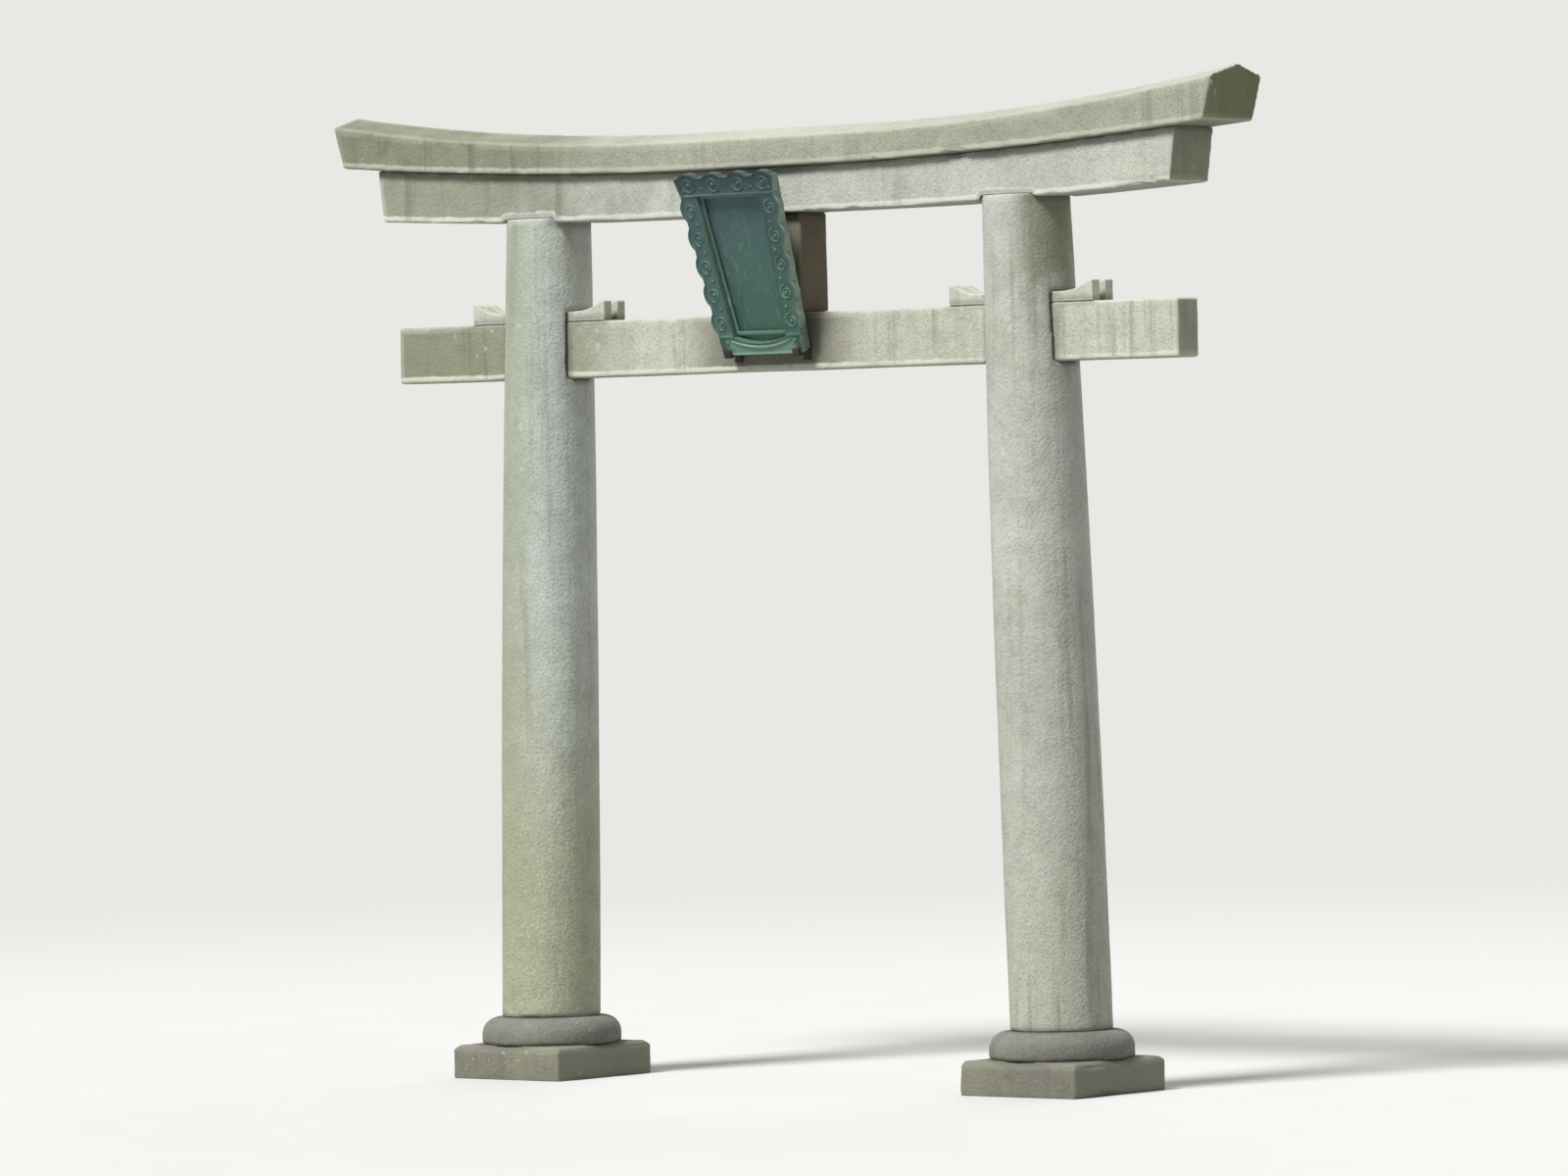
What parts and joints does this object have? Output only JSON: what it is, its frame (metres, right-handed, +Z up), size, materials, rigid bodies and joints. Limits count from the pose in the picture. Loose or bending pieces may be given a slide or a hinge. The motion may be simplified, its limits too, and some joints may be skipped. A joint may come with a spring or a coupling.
{
  "type": "stone torii gate",
  "caption": "Small weathered granite torii gate with leaning round posts, wedged tie beam, upturned double lintel and a forward-leaning bronze tablet.",
  "frame": {"origin": "the middle of the left foot's underside, on the ground, where the gate is held", "axes": "+X along the gate to the right foot as seen from the front, +Y to the back, away from the tablet's face, +Z up"},
  "size_m": [3.3556, 0.4782, 2.8839],
  "materials": {
    "post_granite": "weathered bush-hammered granite",
    "lintel_granite": "weathered bush-hammered granite",
    "beam_granite": "weathered warm granite",
    "base_granite": "dull dirty granite with moss",
    "green_bronze": "bronze with verdigris",
    "border_bronze": "dark bronze with verdigris",
    "dark_iron": "rusty dark iron"
  },
  "bodies": {
    "root": {"left_base_block": "base_granite", "right_base_block": "base_granite", "left_foot_stone": "base_granite", "right_foot_stone": "base_granite", "left_post": "post_granite", "right_post": "post_granite", "tie_beam": "beam_granite", "left_outer_front_wedge": "beam_granite", "left_outer_back_wedge": "beam_granite", "left_inner_front_wedge": "beam_granite", "left_inner_back_wedge": "beam_granite", "right_inner_front_wedge": "beam_granite", "right_inner_back_wedge": "beam_granite", "right_outer_front_wedge": "beam_granite", "right_outer_back_wedge": "beam_granite", "center_strut": "beam_granite", "lower_lintel": "lintel_granite", "top_lintel": "lintel_granite", "tablet_board": "green_bronze", "tablet_left_border": "border_bronze", "tablet_right_border": "border_bronze", "tablet_top_border": "border_bronze", "tablet_bottom_border": "border_bronze", "tablet_fillet": "green_bronze", "lower_batten": "dark_iron", "upper_batten": "dark_iron", "left_bracket": "dark_iron", "right_bracket": "dark_iron", "left_stay": "dark_iron", "right_stay": "dark_iron"}
  },
  "joints": []
}
